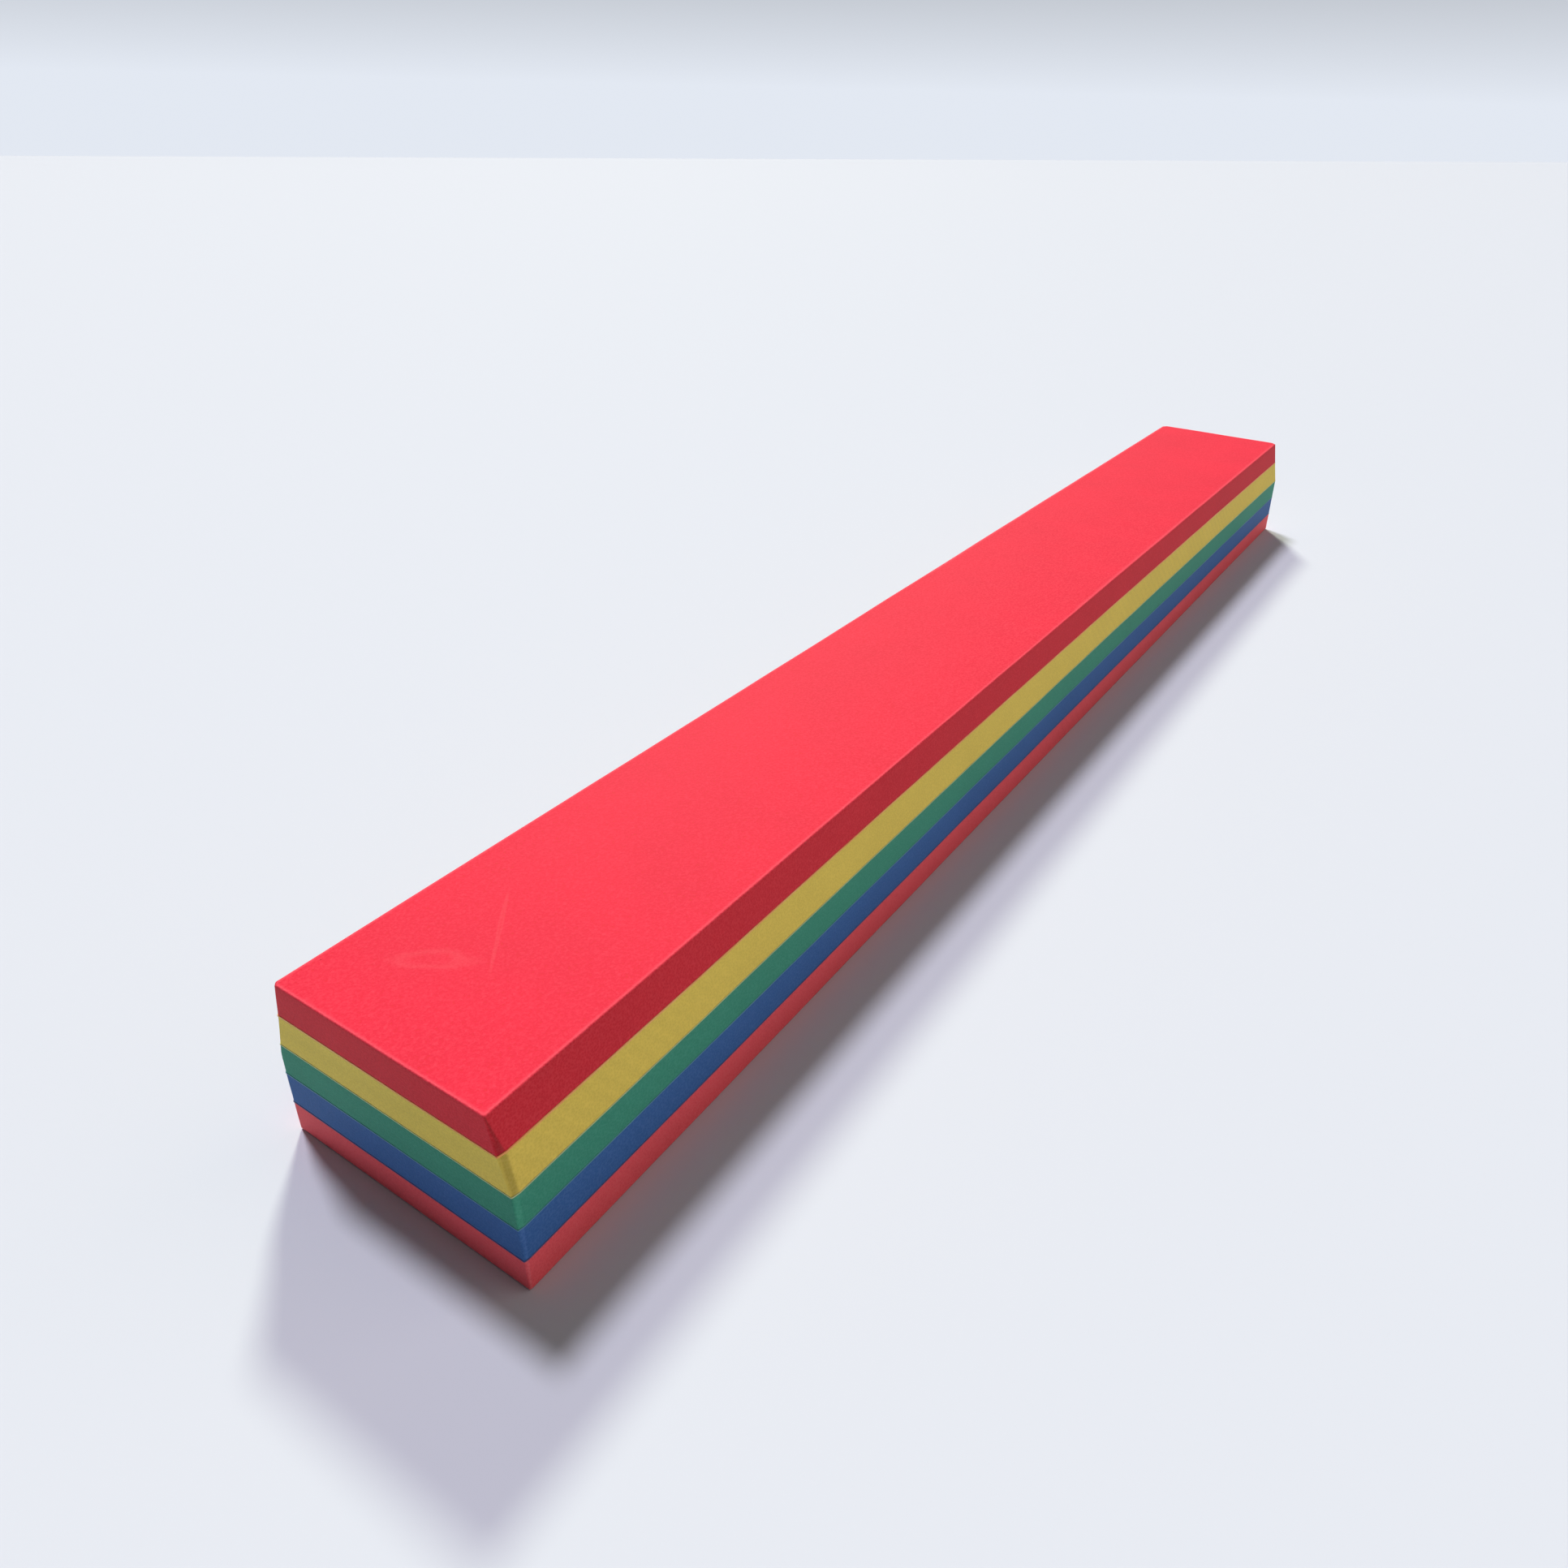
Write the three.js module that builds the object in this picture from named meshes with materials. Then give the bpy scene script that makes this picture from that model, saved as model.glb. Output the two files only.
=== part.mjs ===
// Low balance beam for gymnastics practice: five closed-cell foam boards laid flat on each
// other and glued face to face. The sides of the two upper boards slope inward to the
// narrower tread, and the three lower boards stand almost upright.
//
// Millimetres. +X runs along the beam, +Y across it and +Z up. The origin is on the floor,
// under the middle of the beam.

import * as THREE from 'three';
import { LoftGeometry } from 'three/addons/geometries/LoftGeometry.js';

// Overall sizes
const LENGTH = 1200;
const TREAD_WIDTH = 129; // across the face that is walked on
const BELT_WIDTH = 148; // where the sloping sides meet the upright ones
const BASE_WIDTH = 152; // across the face that lies on the floor

// Layers
const UPRIGHT_BOARD_THICKNESS = 18.7; // each of the three lower boards
const SLOPING_BOARD_THICKNESS = 19.7; // each of the two upper boards
const GLUE_LINE = 0.4; // from one board's face to the next board's
const GLUE_CLEARANCE = 0.01; // between a glue film and each board beside it

// Rounding of the four upright corners, seen from above
const BASE_CORNER_RADIUS = 4;
const BELT_CORNER_RADIUS = 5;
const TREAD_CORNER_RADIUS = 2;

// Rounding of the edges round the two big faces
const BASE_EDGE_RADIUS = 2.5;
const TREAD_EDGE_RADIUS = 1.5;

// Smoothness of the rounding
const CORNER_DIVISIONS = 3; // a corner gets twice as many flats
const EDGE_STEPS = 4;

// Surface finish
const FOAM_ROUGHNESS = 0.85;
const GLUE_ROUGHNESS = 0.45;

const RIGHT_ANGLE = Math.PI / 2;

// The boards from the floor up, each with the glue film that lies on it
const UPRIGHT_BOARDS = [
  { name: 'base_board_red', color: 0xd83a4c, film: { name: 'glue_film_red_blue', color: 0x6a3550 } },
  { name: 'lower_board_blue', color: 0x2c5ba6, film: { name: 'glue_film_blue_green', color: 0x5f9aa0 } },
  { name: 'middle_board_green', color: 0x2f9175, film: { name: 'glue_film_green_yellow', color: 0xb8d0a0 } },
];
const SLOPING_BOARDS = [
  { name: 'upper_board_yellow', color: 0xe0c548, film: { name: 'glue_film_yellow_red', color: 0xf08a58 } },
  { name: 'tread_board_red', color: 0xf2384c },
];

// Height of the bend in the sides, and of the whole beam
const BELT_HEIGHT = UPRIGHT_BOARDS.length * (UPRIGHT_BOARD_THICKNESS + GLUE_LINE);
const BEAM_HEIGHT = BELT_HEIGHT + SLOPING_BOARDS.length * (SLOPING_BOARD_THICKNESS + GLUE_LINE) - GLUE_LINE;

// Width and corner radius at the heights where the sides change their slope
const STATIONS = [
  { height: 0, width: BASE_WIDTH, radius: BASE_CORNER_RADIUS },
  { height: BELT_HEIGHT, width: BELT_WIDTH, radius: BELT_CORNER_RADIUS },
  { height: BEAM_HEIGHT, width: TREAD_WIDTH, radius: TREAD_CORNER_RADIUS },
];

// Distances from a face that divide the rounded edge beside it into equal angles
function roundingSteps(radius) {
  return Array.from({ length: EDGE_STEPS }, (_, step) => {
    const angle = (RIGHT_ANGLE * (step + 1)) / EDGE_STEPS;
    return radius * (1 - Math.cos(angle));
  });
}

// Heights at which the outer surface changes direction
const CREASES = [
  ...roundingSteps(BASE_EDGE_RADIUS),
  BELT_HEIGHT,
  ...roundingSteps(TREAD_EDGE_RADIUS).map((distance) => BEAM_HEIGHT - distance).reverse(),
];

// How far a rounded edge has drawn in, at a distance from the face that it runs into
function roundingInset(distance, radius) {
  const rise = THREE.MathUtils.clamp(radius - distance, 0, radius);
  return radius - Math.sqrt(radius ** 2 - rise ** 2);
}

// The beam's outline seen from above, at one height
function planOutline(height) {
  const upper = STATIONS.find((station) => station.height > height) ?? STATIONS.at(-1);
  const lower = STATIONS[STATIONS.indexOf(upper) - 1];
  const share = (height - lower.height) / (upper.height - lower.height);
  const radius = THREE.MathUtils.lerp(lower.radius, upper.radius, share);
  const width = THREE.MathUtils.lerp(lower.width, upper.width, share);
  const baseInset = roundingInset(height, BASE_EDGE_RADIUS);
  const treadInset = roundingInset(BEAM_HEIGHT - height, TREAD_EDGE_RADIUS);

  const cornerX = LENGTH / 2 - radius - baseInset - treadInset;
  const cornerY = width / 2 - radius - baseInset - treadInset;
  const outline = new THREE.Shape();
  outline.absarc(cornerX, cornerY, radius, 0, RIGHT_ANGLE);
  outline.absarc(-cornerX, cornerY, radius, RIGHT_ANGLE, 2 * RIGHT_ANGLE);
  outline.absarc(-cornerX, -cornerY, radius, 2 * RIGHT_ANGLE, 3 * RIGHT_ANGLE);
  outline.absarc(cornerX, -cornerY, radius, 3 * RIGHT_ANGLE, 4 * RIGHT_ANGLE);
  return outline.getPoints(CORNER_DIVISIONS);
}

// One layer of the beam, lofted through its outlines and measured from its own underside
function layerGeometry(underside, thickness) {
  const top = underside + thickness;
  const between = CREASES.filter((crease) => crease > underside && crease < top);
  const sections = [underside, ...between, top].map((height) =>
    planOutline(height).map((point) => new THREE.Vector3(point.x, point.y, height - underside)),
  );
  return new LoftGeometry(sections, { capStart: true, capEnd: true });
}

function makeLayer({ name, color }, underside, thickness, roughness) {
  const material = new THREE.MeshStandardMaterial({ color, roughness, metalness: 0 });
  const layer = new THREE.Mesh(layerGeometry(underside, thickness), material);
  layer.name = name;
  layer.position.z = underside;
  return layer;
}

// Boards of one thickness laid on each other from a height, each with the film on top of it
function stackBoards(boards, thickness, stackHeight) {
  const stack = new THREE.Group();
  boards.forEach((board, place) => {
    const underside = stackHeight + place * (thickness + GLUE_LINE);
    stack.add(makeLayer(board, underside, thickness, FOAM_ROUGHNESS));
    if (board.film) {
      const filmUnderside = underside + thickness + GLUE_CLEARANCE;
      const filmThickness = GLUE_LINE - 2 * GLUE_CLEARANCE;
      stack.add(makeLayer(board.film, filmUnderside, filmThickness, GLUE_ROUGHNESS));
    }
  });
  return stack;
}

const beam = new THREE.Group();
beam.add(stackBoards(UPRIGHT_BOARDS, UPRIGHT_BOARD_THICKNESS, 0));
beam.add(stackBoards(SLOPING_BOARDS, SLOPING_BOARD_THICKNESS, BELT_HEIGHT));

export default beam;
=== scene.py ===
# %% [markdown]
# # A foam balance beam, from its frame to its finish
# The beam is a low practice beam for beginners: five closed-cell foam boards, red, blue,
# green, yellow and red from the floor up, laid flat on each other and glued face to face.
# A saw then cuts the whole stack to length and slopes the long sides of the two upper
# boards, so the top, called the tread here, is narrower than the base.
#
# The engineering model is loaded first, as a fixed frame. It says where every board lies.
# This script only says how each one looks: its softened edges, its cut faces and its cells.

# %% Load the frame
import math

import bpy
from mathutils import Matrix, Vector


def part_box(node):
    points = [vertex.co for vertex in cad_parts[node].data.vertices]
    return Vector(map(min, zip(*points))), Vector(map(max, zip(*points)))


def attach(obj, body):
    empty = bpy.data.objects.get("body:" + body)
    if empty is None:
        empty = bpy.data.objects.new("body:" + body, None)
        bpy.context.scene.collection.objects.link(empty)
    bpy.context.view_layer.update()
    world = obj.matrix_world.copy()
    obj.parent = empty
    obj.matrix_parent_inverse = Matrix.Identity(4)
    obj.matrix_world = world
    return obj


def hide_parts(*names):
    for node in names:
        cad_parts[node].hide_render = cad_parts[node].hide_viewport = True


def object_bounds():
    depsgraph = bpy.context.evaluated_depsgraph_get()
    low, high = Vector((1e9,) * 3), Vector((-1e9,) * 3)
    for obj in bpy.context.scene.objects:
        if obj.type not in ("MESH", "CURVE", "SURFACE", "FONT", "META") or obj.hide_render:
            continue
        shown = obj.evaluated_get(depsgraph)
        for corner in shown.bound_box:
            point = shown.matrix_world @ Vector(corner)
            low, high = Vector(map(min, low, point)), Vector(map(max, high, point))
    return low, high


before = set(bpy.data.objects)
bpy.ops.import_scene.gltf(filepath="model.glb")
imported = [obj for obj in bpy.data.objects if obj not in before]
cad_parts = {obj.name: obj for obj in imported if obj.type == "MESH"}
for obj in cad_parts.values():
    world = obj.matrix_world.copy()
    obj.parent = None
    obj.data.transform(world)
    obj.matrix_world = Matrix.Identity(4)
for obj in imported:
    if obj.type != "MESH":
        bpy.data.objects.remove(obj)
cad_bounds = [list(corner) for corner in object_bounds()]
MM = 0.001
print("pieces in the frame:", ", ".join(sorted(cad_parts)))
print("beam, in mm:", [round((high - low) / MM, 1) for low, high in zip(*cad_bounds)])

# %% [markdown]
# ## Colours as people write them
# Paint charts and screens give colours as sRGB hex values, but a shader adds and multiplies
# light, so it needs them in linear light. One function turns the one into the other, and
# every colour below goes through it.

# %% A hex colour turned to linear light
def linear(hex_colour):
    """An sRGB colour such as "#D83A4C" as linear red, green and blue, with an alpha of 1."""
    channels = []
    for place in (1, 3, 5):
        value = int(hex_colour[place : place + 2], 16) / 255
        # the two branches of the sRGB standard: a straight start, then a power curve
        channels.append(value / 12.92 if value <= 0.04045 else ((value + 0.055) / 1.055) ** 2.4)
    return (*channels, 1.0)


print("a red of #D83A4C is", [round(c, 3) for c in linear("#D83A4C")], "in linear light")

# %% [markdown]
# ## One helper for every node
# Shapes and finishes are both built from nodes here. A node needs three things: its kind,
# its settings, and what goes into its sockets, which is either a plain value or the output
# of another node. One function adds any node that way, so a tree reads as a list of steps.
# It hands back the node's first output, because that is what the next step mostly needs.

# %% Add a node to a tree
def add(tree, kind, *values, sockets=None, **settings):
    """Adds a node of a kind. values fill its sockets in order, and sockets fills them by name."""
    made = tree.nodes.new(kind)
    for setting, value in settings.items():
        setattr(made, setting, value)
    filled = list(zip([socket for socket in made.inputs if socket.enabled], values))
    filled += [(made.inputs[name], value) for name, value in (sockets or {}).items()]
    for socket, value in filled:
        if isinstance(value, bpy.types.NodeSocket):
            tree.links.new(value, socket)
        elif value is not None:
            socket.default_value = value
    return next((output for output in made.outputs if output.enabled), made)


# %% [markdown]
# ## The beam's outer form, read from the frame
# Each long side has two straight stretches that meet at a bend, called the belt here. The
# frame's green board lies just below the belt and its yellow board just above it, so the
# widths of these two boards give both straight lines. Carrying the lines on, to the floor
# and to the tread, gives the widths there before any edge is rounded.

# %% Measure the long sides
def carry_on(node, height):
    """The half width where the straight side of one of the frame's boards reaches a height."""
    low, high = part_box(node)
    points = [corner.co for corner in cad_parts[node].data.vertices]
    tolerance = 0.01 * MM
    bottom, top = (
        max(point.y for point in points if abs(point.z - level) < tolerance)
        for level in (low.z, high.z)
    )
    return bottom + (top - bottom) * (height - low.z) / (high.z - low.z)


low_corner, high_corner = (Vector(corner) for corner in cad_bounds)
HALF_LENGTH, BEAM_HEIGHT = high_corner.x, high_corner.z
BELT_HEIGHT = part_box("upper_board_yellow")[0].z
FLOOR_HALF_WIDTH = carry_on("middle_board_green", 0.0)
BELT_HALF_WIDTH = carry_on("upper_board_yellow", BELT_HEIGHT)
TREAD_HALF_WIDTH = carry_on("upper_board_yellow", BEAM_HEIGHT)
measured = (FLOOR_HALF_WIDTH, BELT_HALF_WIDTH, TREAD_HALF_WIDTH)
print("half widths at floor, belt and tread, in mm:", [round(width / MM, 2) for width in measured])

# %% [markdown]
# The stack went through the saw once for each side, and the second cut came in a few
# millimetres lower. So the left belt lies in the green board, and because the slope above
# it runs on to meet the tread at the same width, the left belt also stands out a little.

# %% The left belt
LEFT_BELT_DROP = 7.5 * MM
slope = (BELT_HALF_WIDTH - TREAD_HALF_WIDTH) / (BEAM_HEIGHT - BELT_HEIGHT)
LEFT_BELT_HEIGHT = BELT_HEIGHT - LEFT_BELT_DROP
LEFT_BELT_HALF_WIDTH = BELT_HALF_WIDTH + LEFT_BELT_DROP * slope
print(f"slope of the upper sides: {math.degrees(math.atan(slope)):.1f} degrees from upright")
print(f"left belt: {LEFT_BELT_HEIGHT / MM:.1f} mm up, {LEFT_BELT_HALF_WIDTH / MM:.1f} mm out")

# %% [markdown]
# ## One tree for every layer
# All the boards, and the glue between them, are slices of one form. It could be modelled
# board by board, with a bevel on each, but then five meshes would have to agree along every
# glue line. Instead one Geometry Nodes tree holds the rule for the whole beam, and a layer
# only says between which heights it lies, how soft its edges are and what it is made of.
#
# The tree starts from a block that is two units on each side, with a grid on its faces.
# It works out where each point of the grid belongs on the beam, and moves it there.

# %% Inputs of the layer tree
LAYER_INPUTS = {
    "Cells": ("NodeSocketVector", (200, 24, 6)),
    "Edge cells": ("NodeSocketInt", 5),
    "Underside": ("NodeSocketFloat", 0.0),
    "Top": ("NodeSocketFloat", BELT_HEIGHT),
    "Half length": ("NodeSocketFloat", HALF_LENGTH),
    "Beam height": ("NodeSocketFloat", BEAM_HEIGHT),
    "Floor half width": ("NodeSocketFloat", FLOOR_HALF_WIDTH),
    "Tread half width": ("NodeSocketFloat", TREAD_HALF_WIDTH),
    "Right belt height": ("NodeSocketFloat", BELT_HEIGHT),
    "Right belt half width": ("NodeSocketFloat", BELT_HALF_WIDTH),
    "Left belt height": ("NodeSocketFloat", LEFT_BELT_HEIGHT),
    "Left belt half width": ("NodeSocketFloat", LEFT_BELT_HALF_WIDTH),
    "Lower edge radius": ("NodeSocketFloat", 0.3 * MM),
    "Upper edge radius": ("NodeSocketFloat", 0.3 * MM),
    "Proud": ("NodeSocketFloat", 0.0),
    "Flare": ("NodeSocketFloat", 0.0),
    "Near right corner": ("NodeSocketVector", (4.8 * MM, 1.0 * MM, 0.1)),
    "Near left corner": ("NodeSocketVector", (2.5 * MM, 2.5 * MM, 0.7)),
    "Far right corner": ("NodeSocketVector", (4.5 * MM, 4.5 * MM, 0.9)),
    "Far left corner": ("NodeSocketVector", (4.5 * MM, 4.5 * MM, 0.9)),
    "Corner peak height": ("NodeSocketFloat", 0.075),
    "Corner share at floor": ("NodeSocketFloat", 0.3),
    "Corner flatness": ("NodeSocketFloat", 0.9),
    "Waist at floor": ("NodeSocketFloat", 0.6 * MM),
    "Waist at tread": ("NodeSocketFloat", 1.9 * MM),
    "Wander": ("NodeSocketVector", (0.2 * MM, 0.3 * MM, 0.0)),
    "Wander length": ("NodeSocketFloat", 80 * MM),
    "Seed": ("NodeSocketFloat", 3.0),
    "Finish": ("NodeSocketMaterial", None),
}


def new_layer_tree():
    """An empty tree with those inputs: the tree, its inputs by name, and its output socket."""
    tree = bpy.data.node_groups.new("Layer of the beam", "GeometryNodeTree")
    for title, (kind, value) in LAYER_INPUTS.items():
        socket = tree.interface.new_socket(title, in_out="INPUT", socket_type=kind)
        if value is not None:
            socket.default_value = value
    tree.interface.new_socket("Layer", in_out="OUTPUT", socket_type="NodeSocketGeometry")
    return tree, tree.nodes.new("NodeGroupInput").outputs, tree.nodes.new("NodeGroupOutput").inputs[0]


layer_tree, given, layer_output = new_layer_tree()
print("the layer tree has", len(LAYER_INPUTS), "inputs")

# %% [markdown]
# ### A block with crowded grid lines
# An edge rounded over a millimetre or two needs grid lines a fraction of a millimetre apart,
# while the flat middle of a board hardly needs any. So each axis is split. The outermost
# cells become a narrow band for the rounding, and the others fill the middle. Inside the
# middle the lines also draw closer towards the band, so that the smooth shading of the
# rounding does not spill far over the flat face. One power does that.

# %% Split the block into its middle and its edge bands
ZERO = (0, 0, 0)
ONE = (1, 1, 1)
MINUS_ONE = (-1, -1, -1)
CROWDING = (1.5, 1.5, 1.5)  # 1 spaces the lines evenly, and more draws them to the edges

rows = add(
    layer_tree, "ShaderNodeVectorMath", given["Edge cells"], (2, 2, 2), given["Cells"],
    operation="MULTIPLY_ADD",
)
lines = add(layer_tree, "ShaderNodeVectorMath", rows, ONE, operation="ADD")
line_counts = add(layer_tree, "ShaderNodeSeparateXYZ", lines).node.outputs
block = add(layer_tree, "GeometryNodeMeshCube", (2, 2, 2), *line_counts)

point = add(layer_tree, "GeometryNodeInputPosition")
side = add(layer_tree, "ShaderNodeVectorMath", point, operation="SIGN")
reach = add(layer_tree, "ShaderNodeVectorMath", point, operation="ABSOLUTE")
border = add(layer_tree, "ShaderNodeVectorMath", given["Cells"], rows, operation="DIVIDE")
left_to_go = add(
    layer_tree, "ShaderNodeMapRange", reach, ZERO, border, ONE, ZERO, data_type="FLOAT_VECTOR"
)
crowded = add(layer_tree, "ShaderNodeVectorMath", left_to_go, CROWDING, operation="POWER")
middle = add(layer_tree, "ShaderNodeVectorMath", ONE, crowded, operation="SUBTRACT")
band = add(
    layer_tree, "ShaderNodeMapRange", reach, border, ONE, ZERO, ONE, data_type="FLOAT_VECTOR"
)
side_x, side_y, side_z = add(layer_tree, "ShaderNodeSeparateXYZ", side).node.outputs
middle_z = add(layer_tree, "ShaderNodeSeparateXYZ", middle).node.outputs["Z"]
band_x, band_y, band_z = add(layer_tree, "ShaderNodeSeparateXYZ", band).node.outputs
print("nodes for the block and its bands:", len(layer_tree.nodes))

# %% [markdown]
# ### How high a point lies
# In the vertical band, the share of the band that has been passed becomes an angle from 0
# to a right angle. Its sine lifts the point towards the face, and its cosine says how far
# the outline is drawn in at that height. That is a quarter circle. A slanting share between
# minus one and one picks the lower or the upper edge radius. The flare makes a layer thicker
# at its outermost points only, which is how the glue swells into a bead where it comes out.

# %% Height, and how far the outline is drawn in there
ON_THE_EDGE = 0.999  # on the block, whose outermost points lie one unit out
angle = add(layer_tree, "ShaderNodeMath", band_z, math.pi / 2, operation="MULTIPLY")
sine = add(layer_tree, "ShaderNodeMath", angle, operation="SINE")
cosine = add(layer_tree, "ShaderNodeMath", angle, operation="COSINE")
edge_radius = add(
    layer_tree, "ShaderNodeMapRange", side_z, -1, 1,
    given["Lower edge radius"], given["Upper edge radius"],
)
centre = add(layer_tree, "ShaderNodeMix", 0.5, given["Underside"], given["Top"])
half_height = add(layer_tree, "ShaderNodeMath", given["Top"], centre, operation="SUBTRACT")
straight = add(layer_tree, "ShaderNodeMath", half_height, edge_radius, operation="SUBTRACT")
bend = add(layer_tree, "ShaderNodeMath", edge_radius, sine, operation="MULTIPLY")
rise = add(layer_tree, "ShaderNodeMath", straight, middle_z, bend, operation="MULTIPLY_ADD")
reach_x, reach_y, _ = add(layer_tree, "ShaderNodeSeparateXYZ", reach).node.outputs
outermost = add(layer_tree, "ShaderNodeMath", reach_x, reach_y, operation="MAXIMUM")
is_cut = add(layer_tree, "ShaderNodeMath", outermost, ON_THE_EDGE, operation="GREATER_THAN")
swelling = add(layer_tree, "ShaderNodeMath", given["Flare"], is_cut, 1, operation="MULTIPLY_ADD")
rise = add(layer_tree, "ShaderNodeMath", rise, swelling, operation="MULTIPLY")
height = add(layer_tree, "ShaderNodeMath", side_z, rise, centre, operation="MULTIPLY_ADD")
kept = add(layer_tree, "ShaderNodeMath", edge_radius, cosine, operation="MULTIPLY")
drawn_in = add(layer_tree, "ShaderNodeMath", edge_radius, kept, operation="SUBTRACT")
print("nodes with the height:", len(layer_tree.nodes))

# %% [markdown]
# ### How wide the beam is at that height
# The lower stretch of a side is one straight line and the upper stretch is another. The
# outline bulges outwards at the belt, so at any height the narrower of the two lines is the
# true one, and a single Minimum picks it.

# %% Half width at a height
belt_height, belt_half_width = (
    add(
        layer_tree, "ShaderNodeMapRange", side_y, -1, 1,
        given[f"Right belt {measure}"], given[f"Left belt {measure}"],
    )
    for measure in ("height", "half width")
)
lower_line = add(
    layer_tree, "ShaderNodeMapRange", height, 0, belt_height,
    given["Floor half width"], belt_half_width, clamp=False,
)
upper_line = add(
    layer_tree, "ShaderNodeMapRange", height, belt_height, given["Beam height"],
    belt_half_width, given["Tread half width"], clamp=False,
)
half_width = add(layer_tree, "ShaderNodeMath", lower_line, upper_line, operation="MINIMUM")
print("nodes with the width:", len(layer_tree.nodes))

# %% [markdown]
# ### Corners that change as they rise
# The four upright corners are not alike. A knife trimmed the near right one: it is sharp at
# the tread, opens to a facet of a few millimetres in the yellow board, and closes again
# towards the floor. The far ones are rounder all the way up. Each corner is given as a
# vector: its reach along the beam, its reach across it, and the share left at the tread.

# %% Reach of the corner that a point belongs to
near_corner, far_corner = (
    add(
        layer_tree, "ShaderNodeMapRange", side_y, MINUS_ONE, ONE,
        given[f"{end} right corner"], given[f"{end} left corner"], data_type="FLOAT_VECTOR",
    )
    for end in ("Near", "Far")
)
corner = add(
    layer_tree, "ShaderNodeMapRange", side_x, MINUS_ONE, ONE, near_corner, far_corner,
    data_type="FLOAT_VECTOR",
)
tread_share = add(layer_tree, "ShaderNodeSeparateXYZ", corner).node.outputs["Z"]
share_above = add(
    layer_tree, "ShaderNodeMapRange", height, given["Corner peak height"], given["Beam height"],
    1, tread_share,
)
share_below = add(
    layer_tree, "ShaderNodeMapRange", height, 0, given["Corner peak height"],
    given["Corner share at floor"], 1,
)
corner_share = add(layer_tree, "ShaderNodeMath", share_above, share_below, operation="MULTIPLY")
corner_reach = add(
    layer_tree, "ShaderNodeVectorMath", corner, sockets={"Scale": corner_share}, operation="SCALE"
)
print("nodes with the corners:", len(layer_tree.nodes))

# %% [markdown]
# ### Drawing a square corner in
# Near a corner, a point has gone some share of the way through the rounding along each axis.
# Those two shares fill a square. Sliding each point towards the corner's centre, by the
# ratio of the longer share to the length of both together, turns the square into a quarter
# disc, and no two points meet. With the sum of the shares in place of the length, the
# square becomes a triangle with a flat cut, so a mix of both makes a facet with soft edges.

# %% The point's place in plan
BAND_PER_REACH = (1.2, 1.2, 1.2)  # the band reaches a little further in than the rounding
NARROWEST_BAND = (2.5 * MM, 2.5 * MM, 0.0)
outline = add(layer_tree, "ShaderNodeCombineXYZ", given["Half length"], half_width)
margin = add(layer_tree, "ShaderNodeMath", given["Proud"], drawn_in, operation="SUBTRACT")
outline = add(layer_tree, "ShaderNodeVectorMath", outline, margin, operation="ADD")
wanted_band = add(layer_tree, "ShaderNodeVectorMath", corner_reach, BAND_PER_REACH, operation="MULTIPLY")
band_width = add(layer_tree, "ShaderNodeVectorMath", wanted_band, NARROWEST_BAND, operation="MAXIMUM")
plain = add(layer_tree, "ShaderNodeVectorMath", outline, band_width, operation="SUBTRACT")
in_band = add(layer_tree, "ShaderNodeVectorMath", band_width, band, operation="MULTIPLY")
place = add(layer_tree, "ShaderNodeVectorMath", plain, middle, in_band, operation="MULTIPLY_ADD")

start = add(layer_tree, "ShaderNodeVectorMath", outline, corner_reach, operation="SUBTRACT")
past = add(
    layer_tree, "ShaderNodeMapRange", place, start, outline, ZERO, (1, 1, 0), data_type="FLOAT_VECTOR"
)
past_x, past_y, _ = add(layer_tree, "ShaderNodeSeparateXYZ", past).node.outputs
longer = add(layer_tree, "ShaderNodeMath", past_x, past_y, operation="MAXIMUM")
shorter = add(layer_tree, "ShaderNodeMath", past_x, past_y, operation="MINIMUM")
round_length = add(layer_tree, "ShaderNodeVectorMath", past, operation="LENGTH")
flat_length = add(layer_tree, "ShaderNodeVectorMath", past, ONE, operation="DOT_PRODUCT")
length = add(layer_tree, "ShaderNodeMix", given["Corner flatness"], round_length, flat_length)
left_over = add(layer_tree, "ShaderNodeMath", longer, length, operation="DIVIDE")
pull = add(layer_tree, "ShaderNodeMath", 1, left_over, operation="SUBTRACT")
past_reach = add(layer_tree, "ShaderNodeVectorMath", past, corner_reach, operation="MULTIPLY")
step_in = add(layer_tree, "ShaderNodeVectorMath", past_reach, sockets={"Scale": pull}, operation="SCALE")
drawn = add(layer_tree, "ShaderNodeVectorMath", place, step_in, operation="SUBTRACT")
plan = add(layer_tree, "ShaderNodeVectorMath", drawn, side, operation="MULTIPLY")
plan_x, plan_y, _ = add(layer_tree, "ShaderNodeSeparateXYZ", plan).node.outputs
in_place = add(layer_tree, "ShaderNodeCombineXYZ", plan_x, plan_y, height)
print("nodes with the place in plan:", len(layer_tree.nodes))

# %% [markdown]
# ### The small faults of a hand-fed saw
# Foam gives way under the guide, so the right side runs in at mid-length, by about two
# millimetres at the belt and less at the floor. And every cut face wanders by a fraction of
# a millimetre. The wander is one smooth noise through the whole beam, so it runs on from
# board to board, as one cut does. Points inside a flat face only slide in its plane, so the
# glued faces stay true.

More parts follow.
